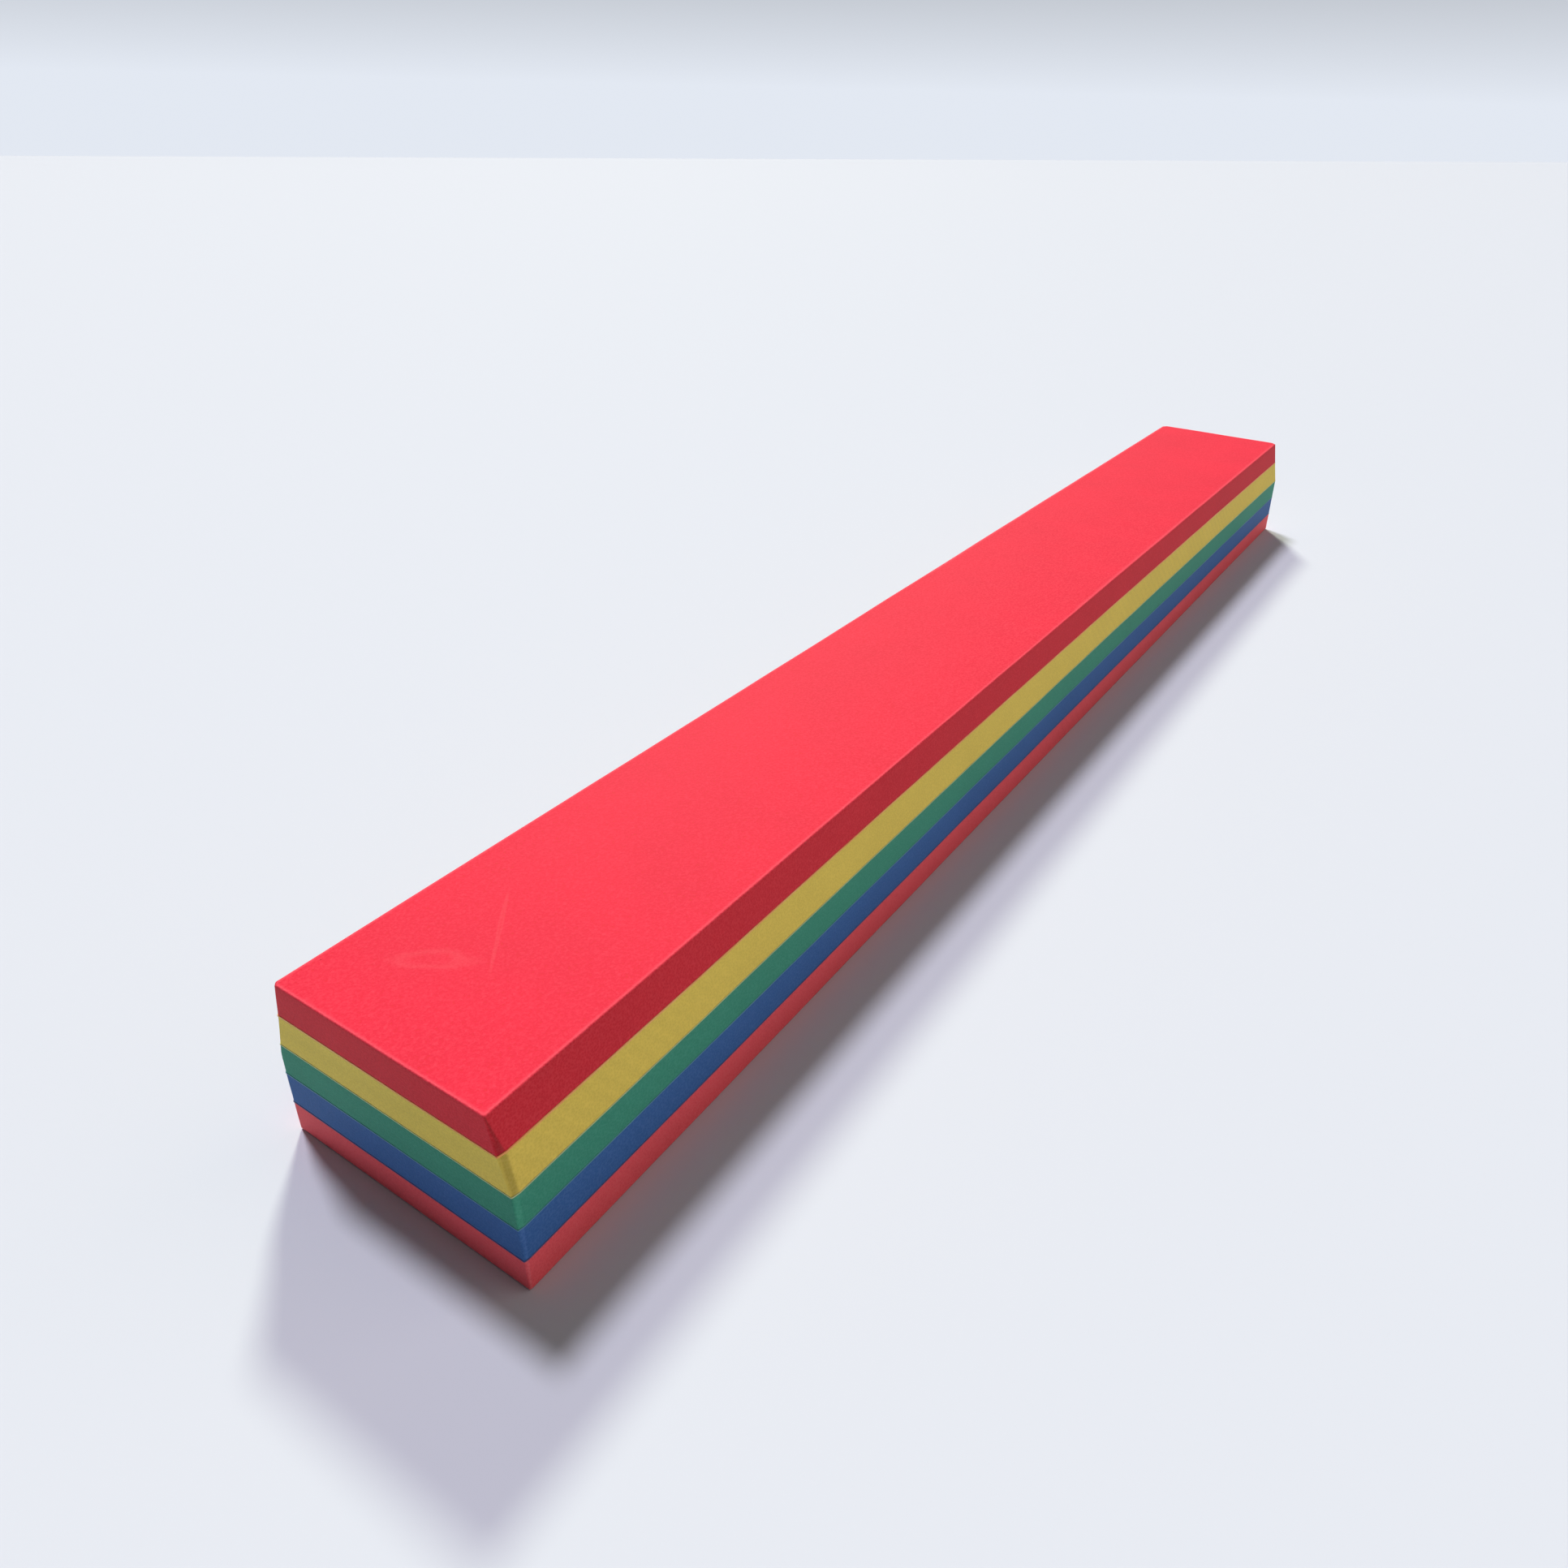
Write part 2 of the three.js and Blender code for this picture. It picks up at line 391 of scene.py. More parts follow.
# %% Waist and wander
share_along = add(layer_tree, "ShaderNodeMath", plan_x, given["Half length"], operation="DIVIDE")
squared = add(layer_tree, "ShaderNodeMath", share_along, share_along, operation="MULTIPLY")
hollow = add(layer_tree, "ShaderNodeMath", 1, squared, operation="SUBTRACT")
right_edge = add(layer_tree, "ShaderNodeMath", half_width, -1, operation="MULTIPLY")
share_right = add(layer_tree, "ShaderNodeMapRange", plan_y, 0, right_edge, 0, 1)
waist = add(
    layer_tree, "ShaderNodeMapRange", height, 0, given["Right belt height"],
    given["Waist at floor"], given["Waist at tread"],
)
waist_there = add(layer_tree, "ShaderNodeMath", waist, hollow, operation="MULTIPLY")
step_y = add(layer_tree, "ShaderNodeMath", waist_there, share_right, operation="MULTIPLY")
waist_step = add(layer_tree, "ShaderNodeCombineXYZ", 0, step_y, 0)

wander_scale = add(layer_tree, "ShaderNodeMath", 1, given["Wander length"], operation="DIVIDE")
noise = add(
    layer_tree, "ShaderNodeTexNoise", in_place, given["Seed"], wander_scale, 1, noise_dimensions="4D"
).node.outputs["Color"]
either_way = add(
    layer_tree, "ShaderNodeMapRange", noise, ZERO, ONE, MINUS_ONE, ONE, data_type="FLOAT_VECTOR"
)
share_up = add(layer_tree, "ShaderNodeMapRange", height, given["Underside"], given["Top"], 0, 1)
freedom = add(layer_tree, "ShaderNodeCombineXYZ", 1, 1, share_up)
reach_of_wander = add(layer_tree, "ShaderNodeVectorMath", given["Wander"], freedom, operation="MULTIPLY")
offset = add(
    layer_tree, "ShaderNodeVectorMath", either_way, reach_of_wander, waist_step,
    operation="MULTIPLY_ADD",
)
print("nodes with the waist and the wander:", len(layer_tree.nodes))

# %% [markdown]
# ### Marks for the finish, and the end of the tree
# The finish has to know which points lie on a sawn face, on the trimmed corner, which takes a
# painted shade on the upper boards and a painted highlight on the lower ones, and on a softened
# edge, which takes a painted highlight, so the tree stores all three as named attributes. They
# are worked out from the block's own positions, so they are stored before the points move.
# Realize Instances and Set Material end the tree, because every later step works on a plain
# mesh with a material.

# %% Store the attributes and close the tree
FACET_FROM = 0.32  # share of a corner's rounding after which its painted shade and highlight are full
RIM_FROM = 0.5  # share of the edge band after which the painted edge highlight begins
is_corner = add(layer_tree, "ShaderNodeMapRange", shorter, 0, FACET_FROM, 0, 1)
outer_band = add(layer_tree, "ShaderNodeMath", band_x, band_y, operation="MAXIMUM")
# where the painted highlight goes along the softened edges of each board
rim = add(layer_tree, "ShaderNodeMapRange", outer_band, RIM_FROM, 1, 0, 1)
is_highlit_edge = add(layer_tree, "ShaderNodeMath", rim, band_z, operation="MULTIPLY")

mesh = block
marks = {"cut_face": is_cut, "trimmed_corner": is_corner, "painted_edge_highlight": is_highlit_edge}
for mark, strength in marks.items():
    mesh = add(layer_tree, "GeometryNodeStoreNamedAttribute", mesh, True, mark, strength)
mesh = add(layer_tree, "GeometryNodeSetPosition", mesh, True, in_place, offset)
mesh = add(layer_tree, "GeometryNodeSetShadeSmooth", mesh)
mesh = add(layer_tree, "GeometryNodeRealizeInstances", mesh)
mesh = add(layer_tree, "GeometryNodeSetMaterial", mesh, True, given["Finish"])
layer_tree.links.new(mesh, layer_output)
print("the layer tree has", len(layer_tree.nodes), "nodes")

# %% [markdown]
# ## Foam as a material
# The boards are cross-linked EVA foam: ethylene vinyl acetate, coloured right through, blown
# into a closed-cell block and cut into boards. There is no fabric or paint on it. A block's
# outside cures against the mould into a denser skin with a fine, wavy grain like orange
# peel, and that skin is the tread. A sawn face is duller, with opened cells, and the blade
# leaves faint slanting marks on it.
#
# It could be painted from pictures, but a procedural finish stays sharp at any distance and
# follows the real sizes. Foam cells are 0.2 to 0.4 mm across, which is too fine to show
# from where the beam is seen, so both grains are drawn coarser than they are. A texture's
# values seldom reach 0 or 1, so the ranges in which most of them lie are given too.

# %% Sizes of the foam's patterns
GRAIN = 1.5 * MM  # the waves of the moulded skin, drawn half as coarse again as real ones
CELL = 1.1 * MM  # opened cells on a sawn face, drawn three times as coarse as real ones
MOTTLE = 55 * MM  # patches where the colouring is a trace stronger or weaker
PORE_SPACING = 16 * MM  # one blowhole, or none, in each patch of this size
PORE_RADIUS = 0.5 * MM
SAW_PITCH = 4 * MM  # from one mark of the blade to the next
SAW_SLANT = math.radians(38)  # how far the marks lean from upright
GRAIN_DEPTH = 0.12 * MM
CELL_DEPTH = 0.08 * MM
PORE_DEPTH = 0.2 * MM
SAW_DEPTH = 0.08 * MM
NOISE_RANGE = (0.3, 0.7)  # where most values of a soft noise lie
SURFACE_RANGE = (0.2, 0.8)  # and those of the two grains, from hollows to crests
print(f"grain lines per metre: {1 / GRAIN:.0f}; cells per metre: {1 / CELL:.0f}")

# %% [markdown]
# ### Blowholes
# Here and there a large bubble was cut or broke through. A Voronoi texture has one random
# point in each of its cells, and a random colour that goes with the point. The colour decides
# whether there is a blowhole and how wide it is, and the distance from the point draws it.

# %% Blowholes
WITHOUT_PORE = 0.72  # share of the patches that have no blowhole
PORE_BOTTOM = 0.5  # share of a blowhole's radius that lies at its full depth


def blowholes(tree, here):
    """How far a point lies inside a blowhole, from 0 outside to 1 in its middle."""
    pores = add(tree, "ShaderNodeTexVoronoi", here, 1 / PORE_SPACING).node
    chance = add(tree, "ShaderNodeSeparateXYZ", pores.outputs["Color"])
    widest = PORE_RADIUS / PORE_SPACING
    radius = add(tree, "ShaderNodeMapRange", chance, WITHOUT_PORE, 1, 0, widest)
    inner = add(tree, "ShaderNodeMath", radius, PORE_BOTTOM, operation="MULTIPLY")
    return add(tree, "ShaderNodeMapRange", pores.outputs["Distance"], inner, radius, 1, 0)


print(f"blowholes are up to {2 * PORE_RADIUS / MM:.0f} mm wide")

# %% [markdown]
# ### Marks of the saw
# The teeth leave slanting waves, a few millimetres apart and rather uneven, and only where
# the blade rubbed. A distorted wave draws them, and a slow noise says where they show.

# %% Marks of the saw
RUBBED_WHERE = (0.45, 0.62)  # from no marks to full marks, in the slow noise
RUBBED_LENGTH = 4 * MOTTLE


def saw_marks(tree, here, is_cut, saw_share):
    """How strong the saw's marks are at a point, on sawn faces only."""
    turned = add(tree, "ShaderNodeMapping", here, sockets={"Rotation": (0, SAW_SLANT, 0)})
    waves = add(
        tree, "ShaderNodeTexWave", turned,
        sockets={
            "Scale": 1 / SAW_PITCH / math.tau, "Distortion": 1.5, "Detail": 2,
            "Detail Scale": 2.0, "Detail Roughness": 0.6,
        },
    ).node.outputs["Fac"]
    passes = add(tree, "ShaderNodeTexNoise", here, sockets={"Scale": 1 / RUBBED_LENGTH, "Detail": 1})
    marked = add(tree, "ShaderNodeMapRange", passes, *RUBBED_WHERE, 0, saw_share)
    strength = add(tree, "ShaderNodeMath", waves, marked, operation="MULTIPLY")
    return add(tree, "ShaderNodeMath", strength, is_cut, operation="MULTIPLY")


print(f"saw marks: {SAW_PITCH / MM:.0f} mm apart, {math.degrees(SAW_SLANT):.0f} degrees off upright")

# %% [markdown]
# ### The tone of the foam
# A block is never of quite one colour. It is a trace lighter and darker in large patches, its
# blowholes take a painted shade, and the saw's marks are a little darker than the rest. Each of
# these is a factor near one, and their product multiplies the colour.

# %% The tone of the foam
MOTTLE_TONES = (0.97, 1.03)
GRAIN_TONES = (0.96, 1.04)
# painted shade inside a blowhole
PORE_PAINTED_SHADE = 0.35
SAW_TONE = 0.94


def foam_tone(tree, mottle, surface, pore, saw):
    """A factor for the colour: patches, grain, painted shade in blowholes and saw marks, multiplied."""
    tone = add(tree, "ShaderNodeMapRange", mottle, *NOISE_RANGE, *MOTTLE_TONES)
    speckle = add(tree, "ShaderNodeMapRange", surface, *SURFACE_RANGE, *GRAIN_TONES)
    tone = add(tree, "ShaderNodeMath", tone, speckle, operation="MULTIPLY")
    # painted shade inside the blowholes
    shade = add(tree, "ShaderNodeMapRange", pore, 0, 1, 1, PORE_PAINTED_SHADE)
    tone = add(tree, "ShaderNodeMath", tone, shade, operation="MULTIPLY")
    stripe = add(tree, "ShaderNodeMapRange", saw, 0, 1, 1, SAW_TONE)
    return add(tree, "ShaderNodeMath", tone, stripe, operation="MULTIPLY")


print(f"the grain changes the tone by {100 * (GRAIN_TONES[1] - 1):.0f}% either way")

# %% [markdown]
# ### Where feet have been
# Near one end the tread has been rubbed: a shoe has left a soft oval with a paler rim, and
# something harder has left a thin streak beside it. Both are drawn by distance: a Mapping
# node puts the mark's centre at zero, turns it straight and scales it to one unit, and then
# the distance from zero says how strong the mark is. A noise is added to the distance, so
# that the outline wobbles. It is one half on average, so one unit out, where a mark ends,
# the two together are about one and a half.

# %% Scuffs on the tread
SCUFFS = (
    {"name": "oval", "centre": (-550 * MM, 21 * MM), "size": (20 * MM, 7 * MM),
     "turn": math.radians(-57), "rim_from": 0.85, "strength": 0.026},
    {"name": "streak", "centre": (-518 * MM, 12 * MM), "size": (30 * MM, 1.3 * MM),
     "turn": math.radians(38), "rim_from": 0.3, "strength": 0.009},
)
SCUFF_DEPTH = 10 * MM  # well over the unevenness of the tread
SCUFF_WOBBLE = 14 * MM
SCUFF_BORDER = (1.1, 1.7)  # distance and noise together, where a mark fades out
RIM_FULL = 1.3  # and from where its rim is full
MIDDLE_SHARE = 0.15  # strength in the middle, where the rim has 1
RUBBED_COLOUR = "#FFA0A0"
RUBBED_SMOOTHER = -0.08


def scuff(tree, here, colour, rough):
    """Adds the marks to a colour and a roughness, and hands both back."""
    for mark in SCUFFS:
        spot = add(
            tree, "ShaderNodeMapping", here, vector_type="TEXTURE",
            sockets={
                "Location": (*mark["centre"], BEAM_HEIGHT), "Rotation": (0, 0, mark["turn"]),
                "Scale": (*mark["size"], SCUFF_DEPTH),
            },
        )
        wobble = add(
            tree, "ShaderNodeTexNoise", here, sockets={"Scale": 1 / SCUFF_WOBBLE, "Detail": 3}
        )
        distance = add(tree, "ShaderNodeVectorMath", spot, operation="LENGTH")
        away = add(tree, "ShaderNodeMath", distance, wobble, operation="ADD")
        inside = add(
            tree, "ShaderNodeMapRange", away, *SCUFF_BORDER, 1, 0, interpolation_type="SMOOTHSTEP"
        )
        rim = add(tree, "ShaderNodeMapRange", away, mark["rim_from"], RIM_FULL, MIDDLE_SHARE, 1)
        share = add(tree, "ShaderNodeMath", inside, rim, operation="MULTIPLY")
        paler = add(tree, "ShaderNodeMath", share, mark["strength"], operation="MULTIPLY")
        colour = add(tree, "ShaderNodeMix", paler, colour, linear(RUBBED_COLOUR), data_type="RGBA")
        smoother = add(tree, "ShaderNodeMath", share, RUBBED_SMOOTHER, operation="MULTIPLY")
        rough = add(tree, "ShaderNodeMath", rough, smoother, operation="ADD")
    return colour, rough


print("scuffs:", ", ".join(mark["name"] for mark in SCUFFS))

# %% [markdown]
# ### The finish, step by step
# First come the patterns, each read from Object coordinates in metres, so their scale is
# simply one over the real size. Then the colours are mixed: the sawn faces take that of the
# opened foam, a trimmed corner takes a painted shade on the upper boards and a painted
# highlight on the lower ones, and softened edges take a paler painted highlight. The crests
# of the grain get a little painted white glint, and the hollows a painted shade as large. At
# last everything goes into one Principled shader. Dry foam is rough, and its edge fuzz gives
# a trace of sheen.

# %% A foam finish
SKIN_PAINTED_GLINT = 0.028  # painted highlight that the crests of the skin gain, and painted shade that its hollows take
CUT_PAINTED_GLINT = 0.014  # and those of a sawn face
EDGE_HIGHLIGHT = 0.8  # how much of the paler painted highlight an edge takes
FOAM_ROUGHNESS = (0.62, 0.78)  # in the hollows and on the crests


def foam_finish(name, skin, cut, corner_shade_and_highlight, edge_highlight_colour, saw_share, scuffed=False):
    """A foam material: colours of skin and sawn faces, painted shade and highlights at corner and edges.
    """
    material = bpy.data.materials.new(name)
    material.use_nodes = True
    tree = material.node_tree
    tree.nodes.clear()
    here = add(tree, "ShaderNodeTexCoord").node.outputs["Object"]
    is_cut, is_trimmed, is_highlit_edge = (
        add(tree, "ShaderNodeAttribute", attribute_name=mark).node.outputs["Fac"] for mark in marks
    )

    mottle = add(
        tree, "ShaderNodeTexNoise", here, sockets={"Scale": 1 / MOTTLE, "Detail": 3, "Roughness": 0.6}
    )
    grain = add(
        tree, "ShaderNodeTexNoise", here, sockets={"Scale": 1 / GRAIN, "Detail": 2, "Distortion": 0.6}
    )
    cells = add(tree, "ShaderNodeTexVoronoi", here, 1 / CELL)
    surface = add(tree, "ShaderNodeMix", is_cut, grain, cells)
    pore = blowholes(tree, here)
    saw = saw_marks(tree, here, is_cut, saw_share)

    colour = add(tree, "ShaderNodeMix", is_cut, linear(skin), linear(cut), data_type="RGBA")
    # painted shade on the trimmed corners of the upper boards, painted highlight on the lower ones
    colour = add(tree, "ShaderNodeMix", is_trimmed, colour, linear(corner_shade_and_highlight), data_type="RGBA")
    # painted highlight along the softened edges
    highlight_share = add(tree, "ShaderNodeMath", is_highlit_edge, EDGE_HIGHLIGHT, operation="MULTIPLY")
    colour = add(tree, "ShaderNodeMix", highlight_share, colour, linear(edge_highlight_colour), data_type="RGBA")
    tone = foam_tone(tree, mottle, surface, pore, saw)
    colour = add(tree, "ShaderNodeVectorMath", colour, sockets={"Scale": tone}, operation="SCALE")
    # painted glint on the crests of the grain and painted shade in its hollows
    glint_size = add(tree, "ShaderNodeMapRange", is_cut, 0, 1, SKIN_PAINTED_GLINT, CUT_PAINTED_GLINT)
    crest_glint = add(tree, "ShaderNodeMapRange", surface, *SURFACE_RANGE, -1, 1)
    crest_glint = add(tree, "ShaderNodeMath", crest_glint, glint_size, operation="MULTIPLY")
    colour = add(tree, "ShaderNodeVectorMath", colour, crest_glint, operation="ADD")
    rough = add(tree, "ShaderNodeMapRange", surface, *SURFACE_RANGE, *FOAM_ROUGHNESS)
    if scuffed:
        colour, rough = scuff(tree, here, colour, rough)

    skin_height = add(tree, "ShaderNodeMath", grain, GRAIN_DEPTH, operation="MULTIPLY")
    cut_height = add(tree, "ShaderNodeMath", cells, CELL_DEPTH, operation="MULTIPLY")
    relief = add(tree, "ShaderNodeMix", is_cut, skin_height, cut_height)
    relief = add(tree, "ShaderNodeMath", pore, -PORE_DEPTH, relief, operation="MULTIPLY_ADD")
    relief = add(tree, "ShaderNodeMath", saw, -SAW_DEPTH, relief, operation="MULTIPLY_ADD")
    normal = add(tree, "ShaderNodeBump", sockets={"Strength": 1.0, "Distance": 1.0, "Height": relief})
    shader = add(
        tree, "ShaderNodeBsdfPrincipled",
        sockets={
            "Base Color": colour, "Roughness": rough, "IOR": 1.48, "Normal": normal,
            "Specular IOR Level": 0.22, "Sheen Weight": 0.03, "Sheen Roughness": 0.4,
        },
    )
    add(tree, "ShaderNodeOutputMaterial", shader)
    return material


# %% [markdown]
# ### Five foams
# The colours, in order, are those of the skin, the sawn faces, the trimmed corner and the
# softened edges. The corner's colour is a painted shade on the tread and the yellow board and
# a painted highlight on the others, and the edges' colour is a painted highlight. Only the
# tread's skin is in view, and it has a deeper colour than its sawn sides. The wide faces of
# the other boards are glued or lie on the floor, so each of these boards has one colour for
# both. The last number says how clearly the saw's marks show, and on the yellow board they
# show most.

# %% The five foam finishes
TREAD_FOAM = foam_finish(
    "EVA foam, red, moulded skin", "#E21A3B", "#E52F3D", "#B7242C", "#F04A5E", 0.25, scuffed=True
)
YELLOW_FOAM = foam_finish("EVA foam, yellow, sawn", "#F6DC63", "#F6DC63", "#CAB44E", "#F8E490", 0.6)
GREEN_FOAM = foam_finish("EVA foam, green, sawn", "#409C80", "#409C80", "#4AA889", "#5CB094", 0.4)
BLUE_FOAM = foam_finish("EVA foam, blue, sawn", "#3D6DAD", "#3D6DAD", "#4876B7", "#5580B8", 0.4)
BASE_FOAM = foam_finish("EVA foam, red, sawn", "#FF626A", "#FF626A", "#FF7179", "#FF7C84", 0.4)
foams = (TREAD_FOAM, YELLOW_FOAM, GREEN_FOAM, BLUE_FOAM, BASE_FOAM)
print("foam finishes:", "; ".join(foam.name for foam in foams))

# %% [markdown]
# ## The glue between the boards
# Contact adhesive is rolled on both boards, left to dry until it is only tacky, and the two
# are pressed together. It cures to a flexible film a few tenths of a millimetre thick, and
# the saw cuts through it with the foam. The film is clear to milky, so it shows a mix of the
# boards that it lies between, with small smears where the blade dragged it. It is smoother
# than foam, which is what lets it catch a thread of light.

# %% A glue finish
SMEAR = 30 * MM  # length of a smear along the line
SMEARED_WHERE = (0.4, 0.62)  # from clean to smeared, in the noise
GLUE_ROUGHNESS = (0.36, 0.55)


def glue_finish(name, colour, smeared):
    """Cured contact adhesive: its own colour, and the colour of its smears."""
    material = bpy.data.materials.new(name)
    material.use_nodes = True
    tree = material.node_tree
    tree.nodes.clear()
    here = add(tree, "ShaderNodeTexCoord").node.outputs["Object"]
    smears = add(
        tree, "ShaderNodeTexNoise", here, sockets={"Scale": 1 / SMEAR, "Detail": 4, "Roughness": 0.65}
    )
    share = add(tree, "ShaderNodeMapRange", smears, *SMEARED_WHERE, 0, 1)
    mixed = add(tree, "ShaderNodeMix", share, linear(colour), linear(smeared), data_type="RGBA")
    rough = add(tree, "ShaderNodeMapRange", smears, *NOISE_RANGE, *GLUE_ROUGHNESS)
    shader = add(
        tree, "ShaderNodeBsdfPrincipled",
        sockets={"Base Color": mixed, "Roughness": rough, "IOR": 1.5, "Specular IOR Level": 0.3},
    )
    add(tree, "ShaderNodeOutputMaterial", shader)
    return material


GLUE_RED_BLUE = glue_finish("contact adhesive over blue and red", "#6A5C86", "#5C5580")
GLUE_BLUE_GREEN = glue_finish("contact adhesive over green and blue", "#5EA4AD", "#5A98B4")
GLUE_GREEN_YELLOW = glue_finish("contact adhesive over yellow and green", "#D8E098", "#C6D4A0")
GLUE_YELLOW_RED = glue_finish("contact adhesive over red and yellow", "#FFA860", "#FFC078")
print("a smear of glue is about", round(SMEAR / MM), "mm long")

# %% [markdown]
# ## Making the layers
# Each layer is a new object with the tree as its modifier. The inputs are set by the
# sockets' identifiers, because two inputs could share a name. Then the evaluated shape is
# taken as a plain mesh and the modifier goes, so that what is left is only points and faces.
# The new piece stands for the frame's plain solid and takes its place on the same body.

# %% Make one layer
def make_layer(name, node, slot, finish, **sizes):
    """The finished piece for one node of the frame. sizes are inputs of the layer tree."""
    low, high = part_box(node)
    piece = bpy.data.objects.new(name, bpy.data.meshes.new(name))
    bpy.context.scene.collection.objects.link(piece)
    layer = piece.modifiers.new("Layer", "NODES")
    layer.node_group = layer_tree
    values = {"Underside": low.z, "Top": high.z, "Finish": finish, **sizes}
    for socket in layer_tree.interface.items_tree:
        if socket.name in values:
            layer[socket.identifier] = values.pop(socket.name)
    assert not values, f"{name}: the layer tree has no input {sorted(values)}"
    depsgraph = bpy.context.evaluated_depsgraph_get()
    shape = bpy.data.meshes.new_from_object(
        piece.evaluated_get(depsgraph), preserve_all_data_layers=True, depsgraph=depsgraph
    )
    piece.modifiers.remove(layer)
    piece.data = shape
    shape.name = name
    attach(piece, "root")
    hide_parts(node)
    size = [round(extent / MM, 1) for extent in piece.dimensions]
    print(f"{name}: {size} mm, {2 * len(shape.polygons)} triangles")
    return piece


# %% [markdown]
# ## The five boards
# Only the outer long edges are clearly softened: the tread's top edge, which was rounded for
# bare feet, and the base's lower edge. Along a glue line the blade leaves just a trace of a
# rounding, a little more of it under the tread, where it leaves a thin dark line. The tread
# also wanders up and down by a fraction of a millimetre.

# %% Boards
TREAD_EDGE_RADIUS = 0.8 * MM
TREAD_LOWER_RADIUS = 0.5 * MM
TREAD_WANDER = (0.2 * MM, 0.3 * MM, 0.3 * MM)
BASE_EDGE_RADIUS = 1.5 * MM
boards = [
    make_layer(
        "base_foam_red", "base_board_red", "foam_red_base", BASE_FOAM,
        **{"Lower edge radius": BASE_EDGE_RADIUS},
    ),
    make_layer("lower_foam_blue", "lower_board_blue", "foam_blue", BLUE_FOAM),
    make_layer("middle_foam_green", "middle_board_green", "foam_green", GREEN_FOAM),
    make_layer("upper_foam_yellow", "upper_board_yellow", "foam_yellow", YELLOW_FOAM),
    make_layer(
        "tread_foam_red", "tread_board_red", "foam_red_tread", TREAD_FOAM,
        **{
            "Lower edge radius": TREAD_LOWER_RADIUS, "Upper edge radius": TREAD_EDGE_RADIUS,
            "Wander": TREAD_WANDER,
        },
    ),
]
print("boards:", len(boards))

# %% [markdown]
# ## The four glue lines
# The same tree makes the films. A film's edge is a small bead, so its edge radius is nearly
# half its thickness. The film is stiffer than foam, so it stands a quarter of a millimetre
# proud where the foam sprang back from the blade, and it swells to fill the two rounded
# edges: a flare of 1 makes the bead twice as thick as the film. The film's flat faces are
# hidden between the boards, so they need few cells.

# %% Glue films
GLUE_PROUD = 0.25 * MM
BEAD_SHARE = 0.98  # of half the thickness, so that a sliver of upright face is left
FILM_CELLS = (200, 12, 2)
FILM_EDGE_CELLS = 7
for name, node, slot, finish, flare in (
    ("glue_line_red_blue", "glue_film_red_blue", "glue_red_blue", GLUE_RED_BLUE, 1.0),
    ("glue_line_blue_green", "glue_film_blue_green", "glue_blue_green", GLUE_BLUE_GREEN, 1.0),
    ("glue_line_green_yellow", "glue_film_green_yellow", "glue_green_yellow", GLUE_GREEN_YELLOW, 1.0),
    ("glue_line_yellow_red", "glue_film_yellow_red", "glue_yellow_red", GLUE_YELLOW_RED, 1.6),
):
    low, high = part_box(node)
    bead_radius = BEAD_SHARE * (high.z - low.z) / 2
    make_layer(
        name, node, slot, finish,
        **{
            "Lower edge radius": bead_radius, "Upper edge radius": bead_radius,
            "Proud": GLUE_PROUD, "Flare": flare,
            "Cells": FILM_CELLS, "Edge cells": FILM_EDGE_CELLS,
        },
    )

# %% [markdown]
# ## The stage
# A plain pale floor, wide on all sides. It ends at a slanting far edge, beyond which only the
# pale sky shows, as where a studio's floor meets its wall. It is not part of the object. Its
# finish is a matte studio paper: a cool near-white with no gloss.

# %% Floor
FLOOR_CORNERS = ((-30.0, -30.0), (35.0, -30.0), (35.0, -16.3), (-21.2, 25.5), (-30.0, 25.5))
floor_mesh = bpy.data.meshes.new("floor")
floor_mesh.from_pydata([(x, y, 0.0) for x, y in FLOOR_CORNERS], [], [range(len(FLOOR_CORNERS))])
floor = bpy.data.objects.new("floor", floor_mesh)
bpy.context.scene.collection.objects.link(floor)
paper = bpy.data.materials.new("seamless studio paper, matte")
paper.use_nodes = True
paper.node_tree.nodes.clear()
paper_shader = add(
    paper.node_tree, "ShaderNodeBsdfPrincipled",
    sockets={"Base Color": linear("#D0D7E0"), "Roughness": 0.9, "IOR": 1.4},
)
add(paper.node_tree, "ShaderNodeOutputMaterial", paper_shader)
floor_mesh.materials.append(paper)
print("floor, in m:", [round(extent, 1) for extent in floor.dimensions[:2]])

# %% [markdown]
# ## Light
# Two soft lamps light the beam, both so far off that their rays are nearly parallel, so the
# floor is lit evenly all over. The key lamp stands high and a little to the left, and gives
# the short shadow on the right. The second one stands lower, beyond the far left end, and
# gives the long, pale shadow towards the near end. Where both shadows fall, the floor is
# dark. A lamp's angle is how wide it looks from the beam, and it sets how soft the edge of a
# shadow is. A third lamp, very wide and weak, fills in the shaded right side. The rest is a
# dim sky, palest low down beyond the far left end, as in a room with one pale wall.

# %% Lamps and sky
def far_lamp(name, towards, strength, angle, colour):
    """A distant lamp that stands in a direction, with its strength in watts per square metre."""
    lamp = bpy.data.lights.new(name, "SUN")
    lamp.energy = strength
    lamp.angle = math.radians(angle)
    lamp.color = linear(colour)[:3]
    holder = bpy.data.objects.new(name, lamp)
    holder.matrix_world = Vector(towards).to_track_quat("Z", "Y").to_matrix().to_4x4()
    bpy.context.scene.collection.objects.link(holder)
    height_angle = math.degrees(math.asin(Vector(towards).normalized().z))
    print(f"{name}: {height_angle:.0f} degrees above the floor, {strength} watts per square metre")


far_lamp("key", (0.19, 0.46, 0.97), 2.3, 9.0, "#F8F1FF")
far_lamp("second", (0.85, 0.74, 0.97), 2.3, 8.0, "#FCFFE6")
far_lamp("side fill", (0.45, -1.0, 0.9), 0.64, 70.0, "#FFE6DB")

# %% [markdown]
# The sky is one Background, whose strength comes from the direction that it is seen in. It
# fades from the pale wall to the dim ceiling, and sideways from the wall to the dark part.

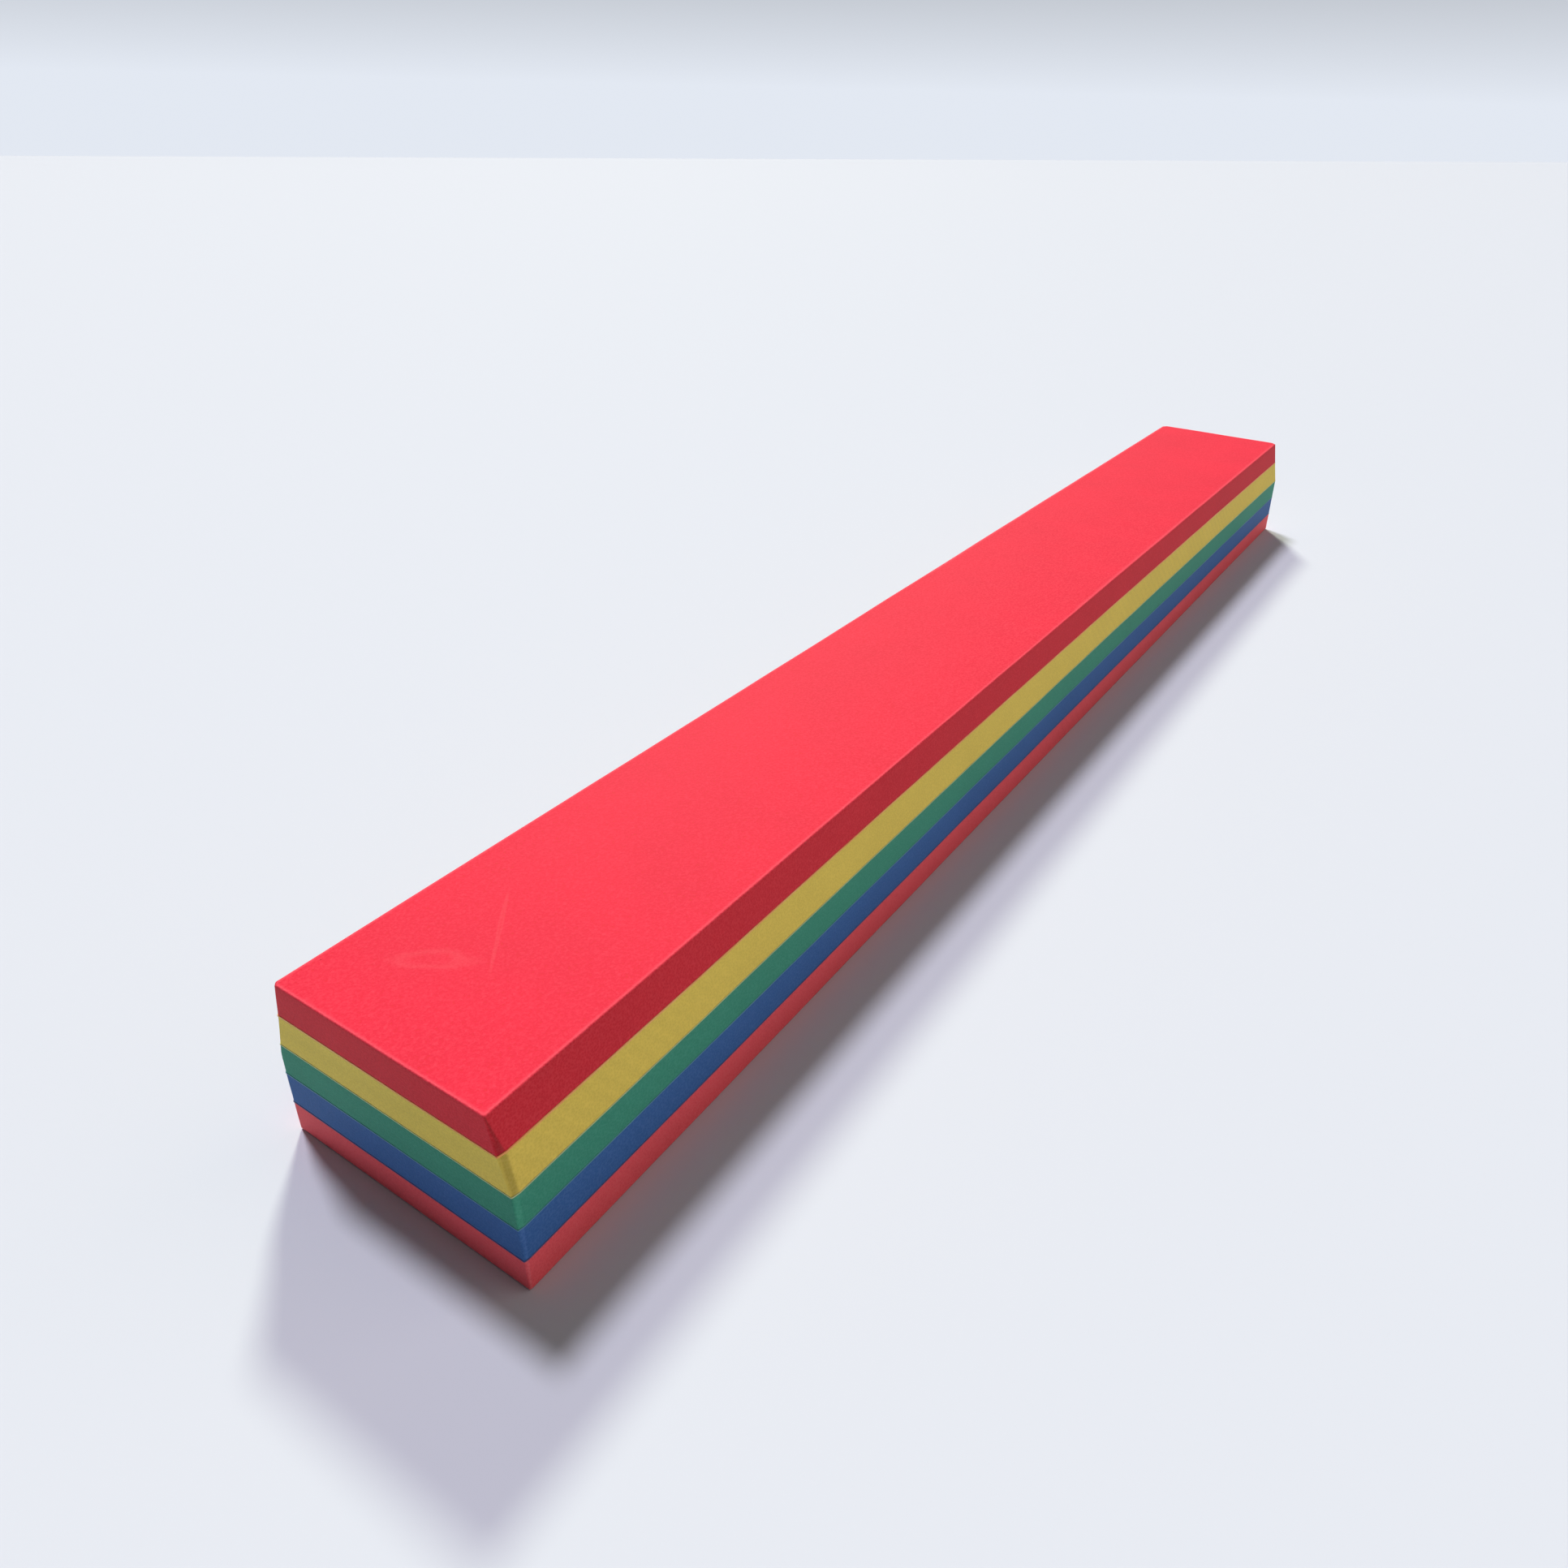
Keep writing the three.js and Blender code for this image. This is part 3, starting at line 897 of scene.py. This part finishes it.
# %% Sky
TO_THE_WALL = (0.8, 0.6, 0.0)  # one unit long
WALL_FADE = (-0.5, 0.7)  # from dark to pale, as the direction turns to the wall
WALL_TOP = 0.2
DARK_STRENGTH = 0.08
WALL_STRENGTH = 0.95
world = bpy.data.worlds.new("pale room")
world.use_nodes = True
world.node_tree.nodes.clear()
direction = add(world.node_tree, "ShaderNodeTexCoord")
upward = add(world.node_tree, "ShaderNodeSeparateXYZ", direction).node.outputs["Z"]
towards_wall = add(
    world.node_tree, "ShaderNodeVectorMath", direction, TO_THE_WALL, operation="DOT_PRODUCT"
)
wall = add(
    world.node_tree, "ShaderNodeMapRange", towards_wall, *WALL_FADE, DARK_STRENGTH, WALL_STRENGTH
)
brightness = add(world.node_tree, "ShaderNodeMapRange", upward, 0, WALL_TOP, wall, DARK_STRENGTH)
sky = add(world.node_tree, "ShaderNodeBackground", linear("#E8EEF8"), brightness)
add(world.node_tree, "ShaderNodeOutputWorld", sky)
bpy.context.scene.world = world
bpy.context.scene.view_settings.view_transform = "Standard"
print(f"sky: strength {WALL_STRENGTH} at the pale wall and {DARK_STRENGTH} above it")

# %% [markdown]
# ## The camera
# Someone stands at the near right corner and looks down along the beam, with the camera
# about 43 cm above the floor and tilted a trace to one side. A wide lens makes the near end
# large and the far end small.

# %% Camera
EYE = Vector((-0.7871, -0.3182, 0.4290))
LOOKS_AT = Vector((-0.2037, 0.0637, 0.0))
TILT = math.radians(1.37)
camera = bpy.data.objects.new("camera", bpy.data.cameras.new("camera"))
camera.data.sensor_width = 36.0
camera.data.lens = 26.0
camera.data.clip_start = 0.01
facing = (LOOKS_AT - EYE).to_track_quat("-Z", "Y").to_matrix().to_4x4()
camera.matrix_world = Matrix.Translation(EYE) @ facing @ Matrix.Rotation(TILT, 4, "Z")
bpy.context.scene.collection.objects.link(camera)
bpy.context.scene.camera = camera
near_corner_at_floor = Vector((-HALF_LENGTH, -FLOOR_HALF_WIDTH, 0.0))
print(f"camera to the near corner: {(EYE - near_corner_at_floor).length:.2f} m")

# %% [markdown]
# The finish must not change the beam's size. The box of the frame is printed here.

# %% Print the frame's box
print("frame, in mm:", [[round(value / MM, 2) for value in corner] for corner in cad_bounds])
